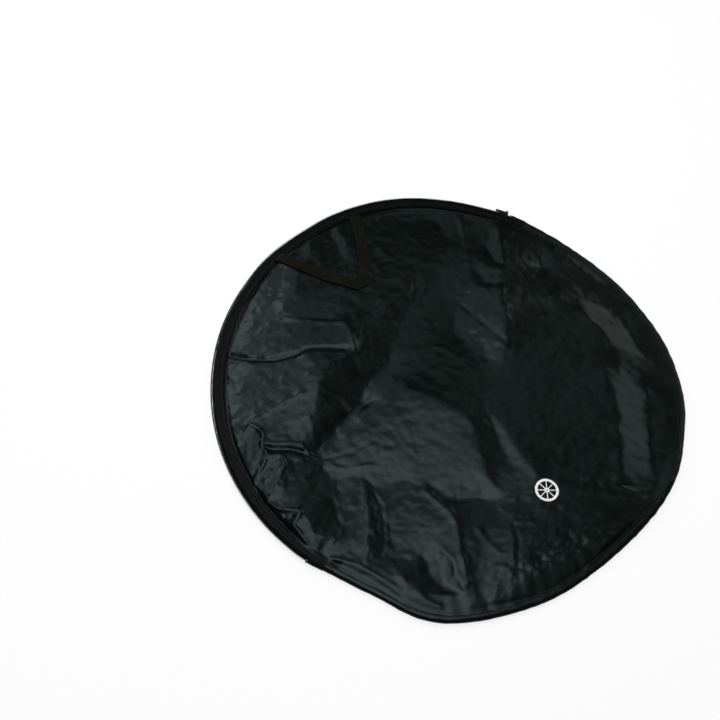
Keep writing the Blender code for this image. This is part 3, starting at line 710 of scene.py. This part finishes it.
# each crease: its height, its width and the x,y of its line, in millimetres
CREASES = (
    ("foot of the dark slope", -6.5, 20, (-130,-62, -159,-116, -184,-152, -187,-169)),
    ("foot of the dark slope, upper part", -2.5, 16, (-100,20, -118,-30, -130,-62)),
    ("tongue edge", 1.6, 3.5, (-289,58, -244,61, -188,71, -177,60, -163,26)),
    ("crease one", -3.2, 4.5, (-364,-24, -330,-27, -289,-23, -256,-8, -239,6, -209,15, -178,21)),
    ("small bump one", 1.0, 4, (-268,-70, -265,-67)),
    ("small bump two", 1.0, 4, (-239,-80, -235,-78)),
    ("small bump three", 1.0, 5, (-231,-50, -226,-42)),
    ("small bump four", 1.0, 4, (-285,40, -272,30)),
    ("lobe crest", 1.5, 3, (-317,-193, -303,-155, -301,-144, -277,-120, -254,-98, -230,-79)),
    ("corner crest", 1.6, 3, (-300,-147, -287,-150, -277,-158, -273,-179, -264,-190, -263,-204,
     -270,-230, -272,-242, -268,-252)),
    ("groove", -2.4, 3.5, (-268,-180, -253,-182, -231,-175, -210,-174)),
    ("groove lip", 1.2, 3, (-266,-174, -232,-166, -214,-164, -199,-175, -183,-177)),
    ("tube edge", 1.5, 3, (-255,-193, -242,-188, -235,-199, -235,-217, -239,-242, -243,-255)),
    ("tube ridge", 1.0, 2.5, (-251,-217, -256,-234)),
    ("puff crest", 2.0, 3.5, (-246,-269, -218,-277, -196,-273)),
    ("puff tail", 2.2, 3.5, (-193,-276, -200,-296, -189,-307, -176,-321, -161,-342)),
    ("puff groove", -2.4, 3, (-250,-294, -230,-294, -213,-294)),
    ("hollow edge", 1.0, 3, (-157,-198, -148,-230, -137,-254, -127,-277, -128,-300, -138,-313)),
    ("streak edge left", 1.0, 3, (-109,-201, -101,-229, -91,-261, -89,-294, -85,-334)),
    ("streak edge right", 1.2, 3, (-86,-213, -70,-231, -63,-263, -55,-303)),
    ("arrow edge", 1.3, 3.5, (-15,-198, 13,-214, 31,-227, 43,-247, 52,-280, 70,-325)),
    ("fin edge", 1.0, 2.5, (26,-286, 44,-297, 51,-312, 67,-333)),
    ("band edge", 1.6, 3, (-137,-340, -103,-343, -56,-355, -20,-368, 19,-379, 50,-388)),
    ("fine line", 0.7, 2.5, (75,-243, 93,-260, 113,-277)),
    ("centre line", -0.4, 2.5, (-89,-101, -57,-131, -27,-154)),
    ("pinch line one", 0.8, 3.5, (-182,-171, -150,-135, -128,-100)),
    ("pinch line two", -0.8, 3.5, (-179,-178, -135,-157, -105,-130)),
    ("pinch line three", 0.7, 3, (-177,-188, -134,-185, -100,-172)),
    ("upper diagonal", -1.6, 3, (3,165, 39,136, 79,102)),
    ("rib bar one", 0.9, 3, (25,246, 58,248)),
    ("rib bar two", 0.9, 3, (29,226, 59,228)),
    ("short line one", 0.9, 3, (-27,350, -17,327)),
    ("short line two", 0.9, 3, (-1,280, 5,246)),
    ("short line three", 1.0, 3.5, (-32,69, 0,63)),
    ("right band foot", 1.2, 4, (296,-127, 317,-128, 344,-116, 362,-109)),
    ("right line", -1.6, 3, (130,-228, 140,-253, 142,-286, 148,-317)),
    ("rib line", 0.8, 2.5, (-23,353, -16,324, -7,296)),
    ("far crease", 0.8, 3, (133,205, 153,217, 157,200)),
)
# the heights are worked out on a square field of cells, wider than the sheet
FIELD = 512
FIELD_CELL = 0.0016
FAR_AWAY = 9.0
# how far a slope can lift the cloth round it, and how freely the cloth between them gives way
HOLD_LENGTH, GIVE_SHARE, ROUNDS = 0.130, 0.75, 12


def soft_field(size, seed):
    """Smooth random heights over the sheet, with features of a size in metres."""
    rough = np.random.default_rng(seed).standard_normal((FIELD, FIELD))
    wave = np.fft.fftfreq(FIELD, FIELD_CELL)
    blur = np.exp(-((wave[:, None] ** 2 + wave[None, :] ** 2) * (size * 1.1) ** 2))
    smooth = np.real(np.fft.ifft2(np.fft.fft2(rough) * blur))
    return smooth / smooth.std()


def places(row):
    """The places in metres that a row of x,y pairs in millimetres names."""
    return [(x / 1000, y / 1000) for x, y in zip(row[::2], row[1::2])]


def from_line(x, y, ax, ay, bx, by, least=0.0):
    """How far points lie from the straight line between two places."""
    dx, dy = bx - ax, by - ay
    along = np.clip(((x - ax) * dx + (y - ay) * dy) / (dx * dx + dy * dy + least), 0, 1)
    return np.hypot(x - ax - along * dx, y - ay - along * dy)


def patch_share(x, y, corners, soft):
    """1 inside a patch, 0 outside it, running over in a soft edge."""
    inside = np.zeros(x.shape, bool)
    nearest = np.full(x.shape, FAR_AWAY)
    for (ax, ay), (bx, by) in zip(corners, corners[1:] + corners[:1]):
        nearest = np.minimum(nearest, from_line(x, y, ax, ay, bx, by, 1e-12))
        if ay != by:
            inside ^= ((ay > y) != (by > y)) & (x < (bx - ax) * (y - ay) / (by - ay) + ax)
    return ease(0.5 + np.where(inside, nearest, -nearest) / (2 * soft / 1000))


def slope_heights():
    """The heights whose slopes come nearest to the wanted ones all over the sheet."""
    line = (np.arange(FIELD) - FIELD / 2 + 0.5) * FIELD_CELL
    x, y = np.meshgrid(line, line, indexing="ij")
    x = x + 0.0022 * soft_field(0.022, 11)
    y = y + 0.0022 * soft_field(0.022, 12)
    rise_x, rise_y, wanted = np.zeros(x.shape), np.zeros(x.shape), np.zeros(x.shape)
    for name, facing, tilt, soft, corners in SLOPES:
        share = patch_share(x, y, places(corners), soft)
        rise = math.tan(math.radians(tilt))
        rise_x += share * (-rise * math.cos(math.radians(facing)) - rise_x)
        rise_y += share * (-rise * math.sin(math.radians(facing)) - rise_y)
        wanted = np.maximum(wanted, share)
    wave = np.fft.fftfreq(FIELD, FIELD_CELL) * math.tau
    kx, ky = wave[:, None], wave[None, :]
    hold = 1 / HOLD_LENGTH
    got_x, got_y = np.zeros(x.shape), np.zeros(x.shape)
    # cloth between the wanted slopes is free to take up most of what they leave over
    for turn in range(ROUNDS):
        free = GIVE_SHARE * (1 - wanted)
        pull = (-1j * kx * np.fft.fft2(rise_x * wanted + free * got_x)
                - 1j * ky * np.fft.fft2(rise_y * wanted + free * got_y))
        heights = pull / (kx ** 2 + ky ** 2 + hold ** 2)
        got_x = np.real(np.fft.ifft2(1j * kx * heights))
        got_y = np.real(np.fft.ifft2(1j * ky * heights))
    return np.real(np.fft.ifft2(heights))


def read_field(field, x, y):
    """A field's value at points between its cells."""
    i = np.clip(x / FIELD_CELL + FIELD / 2 - 0.5, 0, FIELD - 1.001)
    j = np.clip(y / FIELD_CELL + FIELD / 2 - 0.5, 0, FIELD - 1.001)
    a, b = i.astype(int), j.astype(int)
    s, t = i - a, j - b
    return ((field[a, b] * (1 - s) + field[a + 1, b] * s) * (1 - t)
            + (field[a, b + 1] * (1 - s) + field[a + 1, b + 1] * s) * t)


def crease_heights(x, y):
    """The thin ridges and grooves along the folds."""
    total = np.zeros_like(x)
    for name, height, width, line in CREASES:
        nearest = np.full_like(x, FAR_AWAY)
        spots = places(line)
        for (ax, ay), (bx, by) in zip(spots, spots[1:]):
            nearest = np.minimum(nearest, from_line(x, y, ax, ay, bx, by))
        total += height / 1000 * np.exp(-(nearest / (width / 1000)) ** 1.5)
    return total


# heights in metres: the crown at its edge and its rise, and small forms on it
CROWN_EDGE, CROWN_RISE, SEAM_HEIGHT = 0.0145, 0.0050, 0.0150
FINE_WRINKLES, WIDE_WRINKLES, GATHERS, CRUMPLES = 0.00013, 0.00022, 0.0020, 0.00045
GROOVE_DEPTH, GROOVE_WIDTH = 0.0022, 0.0035
# the radius at which the way round the edge is measured, and the edge itself
ROUND_EDGE, EDGE = 0.375, 0.3745
# the line where the front folds open: the way it faces and its distance from the middle
FOLD_FACING, FOLD_DISTANCE = math.radians(162), 0.0755
LIMIT_SOFT, LEAST_SOFT = 0.003, 0.0008


def front_height(x, y):
    """The front sheet's height over the floor, before it is moved out with the rim."""
    radius, angle = np.hypot(x, y), np.arctan2(y, x)
    puffs = read_field(slope_heights(), x, y) + crease_heights(x, y)
    puffs += FINE_WRINKLES * read_field(soft_field(0.009, 5), x, y)
    fading = np.interp(x, (-0.2, 0.1), (1.0, 0.5))
    puffs += WIDE_WRINKLES * read_field(soft_field(0.020, 6), x, y) * fading
    crown = CROWN_EDGE + CROWN_RISE * np.clip(1 - (radius / 0.370) ** 2, 0, 1) ** 0.8
    gathers = (noise_at(angle * ROUND_EDGE / 0.026, radius / 0.045, 9.0)
               + 0.5 * noise_at(angle * ROUND_EDGE / 0.012, radius / 0.05, 4.0))
    turn = np.degrees(angle) % 360
    right = np.interp(turn, (0, 15, 75, 95, 330, 360), (1, 1, 1, 0, 0, 1))
    puffs *= np.where(puffs < 0, 1 - 0.8 * right * ease((radius - 0.325) / 0.04), 1)
    crown += GATHERS * gathers * ease((radius - 0.29) / 0.06) * np.interp(
        turn, (0, 150, 185, 200, 250, 285, 300, 330, 345),
        (0.2, 0.08, 0.25, 0.25, 0.3, 0.25, 0.3, 0.3, 0.2))
    # small crumples lie along the seam on the near right, and behind the middle
    crumpled = np.interp(turn, (284, 296, 316, 330), (0, 1, 1, 0)) * ease((radius - 0.305) / 0.03)
    crumpled += 0.8 * np.exp(-((x - 0.040) ** 2 + ((y - 0.150) / 1.4) ** 2) / 0.045 ** 2)
    puffs += CRUMPLES * crumpled * read_field(soft_field(0.0095, 8), x, y)
    # the cloth rises or falls to its seam over this width
    margin = np.interp(turn, (0, 110, 150, 235, 250, 320, 350),
                       (0.016, 0.020, 0.009, 0.009, 0.008, 0.008, 0.016))
    edge = np.interp(turn, (70, 80, 244, 250), (EDGE, 0.3715, 0.3715, EDGE), period=360)
    held = ease((edge - radius) / margin)
    z = SEAM_HEIGHT + (crown - CROWN_EDGE + puffs) * held
    # and it sinks in a groove beside the zip tape
    groove = np.interp(turn, (84, 95, 125, 150, 200, 226, 236, 244),
                       (0, 0.7, 0.7, 1.0, 0.8, 1.6, 1.6, 0))
    from_rim = np.interp(turn, (130, 165), (0.363, 0.3665))
    z -= GROOVE_DEPTH * groove * np.exp(-((radius - from_rim) / GROOVE_WIDTH) ** 2)
    # and it stays low near the line where the front folds open
    fold = np.abs(x * math.cos(FOLD_FACING) + y * math.sin(FOLD_FACING) - FOLD_DISTANCE)
    limit = 0.0275 + 0.45 * np.maximum(fold - 0.012, 0)
    over = (z - limit) / LIMIT_SOFT
    z = limit + LIMIT_SOFT * (over - np.log1p(np.exp(np.clip(over, -30, 30))) * 0.75)
    return np.clip(z, 0.0060, 0.0370)


def front_place(u, v):
    """The front sheet over the whole bag."""
    x, y = round_cut(u, v)
    radius, angle = np.hypot(x, y), np.arctan2(y, x)
    turn = np.degrees(angle) % 360
    near = near_side(turn)
    across, along, z = on_bag(radius, angle, front_height(x, y))
    # on the near side the cloth falls gently to its seam, in small pleats
    pleats = noise_at(angle * ROUND_EDGE / 0.014, radius / 0.05, 2.0)
    pleats *= np.interp(turn, (275, 296, 312, 322), (0.0006, 0.0015, 0.0018, 0.0008))
    inwards = EDGE - radius
    most = 0.0106 + pleats + 0.24 * inwards + 0.04 * (1 - near)
    least = (0.0102 + pleats + 0.09 * inwards - 0.6 * np.maximum(inwards - 0.028, 0)
             - 0.04 * (1 - near))
    z = most - LEAST_SOFT * np.log1p(np.exp((most - z) / LEAST_SOFT))
    z = least + LEAST_SOFT * np.log1p(np.exp((z - least) / LEAST_SOFT))
    return across, along, z


front_sheet = cloth_grid("front_sheet", 216, 216, front_place)
give_wall(front_sheet, CLOTH, angle=80)
front_sheet.data.materials.append(nylon)
cross_fold(front_sheet)
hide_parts("front_panel_lower", "front_panel_flap")

# --------------------
# Carrying handle: one length of flat brownish-black webbing, 20 mm wide. Both
# ends go under the zip tape, and it lies folded over at one corner.
webbing = woven_tape("webbing_brown_black", (0.0036, 0.0035, 0.0022), (0.0066, 0.0062, 0.0040),
                     0.0016, 0.5, 0.03)
STRAP_WIDTH, STRAP = 0.0195, 0.0012
(END_A, END_B), CORNER = STRAP_ENDS, Vector((-0.1705, 0.153))

now = bpy.context.evaluated_depsgraph_get()
sheet_faces = BVHTree.FromObject(front_sheet, now)
tape_faces = BVHTree.FromObject(front_tape, now)


def cloth_top(x, y, faces=None):
    """The height of the front sheet, or of another piece, under a point."""
    hit = (faces or sheet_faces).ray_cast(Vector((x, y, 0.1)), Vector((0, 0, -1)))[0]
    return hit.z if hit is not None else 0.0


def leg_place(start, end, crease, bow, lift):
    """One leg of the strap, from under the tape to the fold line at the corner."""
    run = (end - start).normalized()
    across = Vector((-run.y, run.x))

    def place(u, v):
        spots = []
        for a, b in zip(u, v):
            offset = (b - 0.5) * STRAP_WIDTH
            edge = start + across * offset
            gap = end - edge
            reach = (gap.x * crease.y - gap.y * crease.x) / (run.x * crease.y - run.y * crease.x)
            spot = edge + run * (a * reach) + across * (bow * math.sin(math.pi * min(a, 1)))
            under = max(cloth_top(spot.x + dx, spot.y + dy)
                        for dx, dy in ((0, 0), (0.006, 0), (-0.006, 0), (0, 0.006), (0, -0.006)))
            near = (1 - a) * reach
            rise = lift * float(ease(near / 0.006))
            spots.append((spot.x, spot.y, under + 0.0008 + rise))
        return [np.array(c) for c in zip(*spots)]
    return place


def joined(name, *pieces):
    """Joins pieces into one and names it."""
    pick(*pieces)
    bpy.ops.object.join()
    whole = bpy.context.object
    whole.name = whole.data.name = name
    return whole


crease_line = ((CORNER - END_A).normalized() + (END_B - CORNER).normalized()).normalized()
strap_a = cloth_grid("strap_leg_a", 60, 6, leg_place(END_A, CORNER, crease_line, -0.007, 0.0))
strap_b = cloth_grid("strap_leg_b", 60, 6, leg_place(END_B, CORNER, crease_line, 0.0065, 0.0014))
for leg in (strap_a, strap_b):
    give_wall(leg, STRAP, 1.0)
strap = joined("carry_strap", strap_a, strap_b)
strap.data.materials.append(webbing)
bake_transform(strap)
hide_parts("carry_handle", "handle_end_left", "handle_end_right")

# --------------------
# Stitching: black thread in short stitches along both seams of the rim. It
# holds the two round panels to the zip tapes and to the gusset.
thread = moulded("thread_black", (0.006, 0.0065, 0.0065), 0.6, 0.0, 1500, 0.0001)
# half of a stitch's length, width and height
STITCH = (0.00115, 0.00034, 0.00028)


def sew(name, spots, alongs):
    """Adds a row of stitches: each lies at its spot and runs along its direction."""
    bpy.ops.mesh.primitive_uv_sphere_add(segments=6, ring_count=5, radius=1)
    row = bpy.context.object
    row.name = row.data.name = name
    ball = points(row) * STITCH
    faces = [tuple(face.vertices) for face in row.data.polygons]
    alongs = alongs / np.linalg.norm(alongs, axis=1)[:, None]
    across = np.stack([-alongs[:, 1], alongs[:, 0], np.zeros(len(alongs))], axis=1)
    across /= np.linalg.norm(across, axis=1)[:, None]
    up = np.cross(alongs, across)
    corners = (spots[:, None, :] + ball[None, :, 0:1] * alongs[:, None, :]
               + ball[None, :, 1:2] * across[:, None, :] + ball[None, :, 2:3] * up[:, None, :])
    mesh = bpy.data.meshes.new(name)
    mesh.from_pydata(corners.reshape(-1, 3).tolist(), [],
                     [tuple(k + turn * len(ball) for k in face)
                      for turn in range(len(spots)) for face in faces])
    row.data = mesh
    row.data.materials.append(thread)
    bpy.ops.object.shade_smooth()
    return row


def rim_row(name, z, pitch=0.0032):
    """A row of stitches all round the bag, at a height or on top of the cloth and the tape."""
    count = round(math.tau * 0.372 / pitch)
    angle = np.arange(count) * math.tau / count
    radius = np.interp(np.degrees(angle), (77, 79, 245, 247), (0.3716, 0.3722, 0.3722, 0.3716))
    spots = np.stack(on_bag(radius, angle, z), axis=1)
    if z > 0.01:
        spots[:, 2] = [max(cloth_top(a, b), cloth_top(a, b, tape_faces)) + 0.00008
                       for a, b, c in spots]
    return sew(name, spots, np.roll(spots, -1, axis=0) - np.roll(spots, 1, axis=0))


front_stitches = rim_row("front_seam_stitches", 0.016)
cross_fold(front_stitches)
back_stitches = rim_row("back_seam_stitches", 0.00125)
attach(back_stitches, "bag")

# --------------------
# Print: a plain wheel sign in light grey, a rim, a hub and eight spokes, as a
# thin film on the front sheet's right side.
film, nodes, links, shader = new_look("print_light_grey")
worn = speckle(nodes, links, nodes.new("ShaderNodeTexCoord").outputs["Object"], 700, 3, 0.6)
colour(nodes, links, shader, worn, 0.35, 0.7, (0.76, 0.77, 0.76), (0.62, 0.63, 0.62))
shader.inputs["Roughness"].default_value = 0.45
FILM = 0.00012
SPOKES = 8
PRINT = Vector((0.176, -0.158))


def on_front(x, y):
    """Points a film's thickness above the front sheet, round the print's middle."""
    x, y = x + PRINT.x, y + PRINT.y
    return x, y, np.array([cloth_top(a, b) for a, b in zip(x, y)]) + 0.00022


def band_round(inner, outer):
    """A flat ring round the print's middle."""
    def place(u, v):
        out = inner + (outer - inner) * v
        return on_front(out * np.cos(math.tau * u), out * np.sin(math.tau * u))
    return place


def bar_at(angle, inner, outer, width):
    """A flat bar from the print's middle outwards."""
    c, s = math.cos(angle), math.sin(angle)

    def place(u, v):
        out, off = inner + (outer - inner) * u, (v - 0.5) * width
        return on_front(out * c - off * s, out * s + off * c)
    return place


shapes = [cloth_grid("print_rim", 96, 3, band_round(0.0150, 0.0190)),
          cloth_grid("print_hub", 32, 4, band_round(0.0012, 0.0040))]
shapes += [cloth_grid("print_spoke", 8, 2,
                      bar_at(math.tau * k / SPOKES + 0.2, 0.0038, 0.0154, 0.0013))
           for k in range(SPOKES)]
wheel_print = joined("wheel_print", *shapes)
weld()
give_wall(wheel_print, FILM, 1.0)
wheel_print.data.materials.append(film)
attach(wheel_print, "bag")
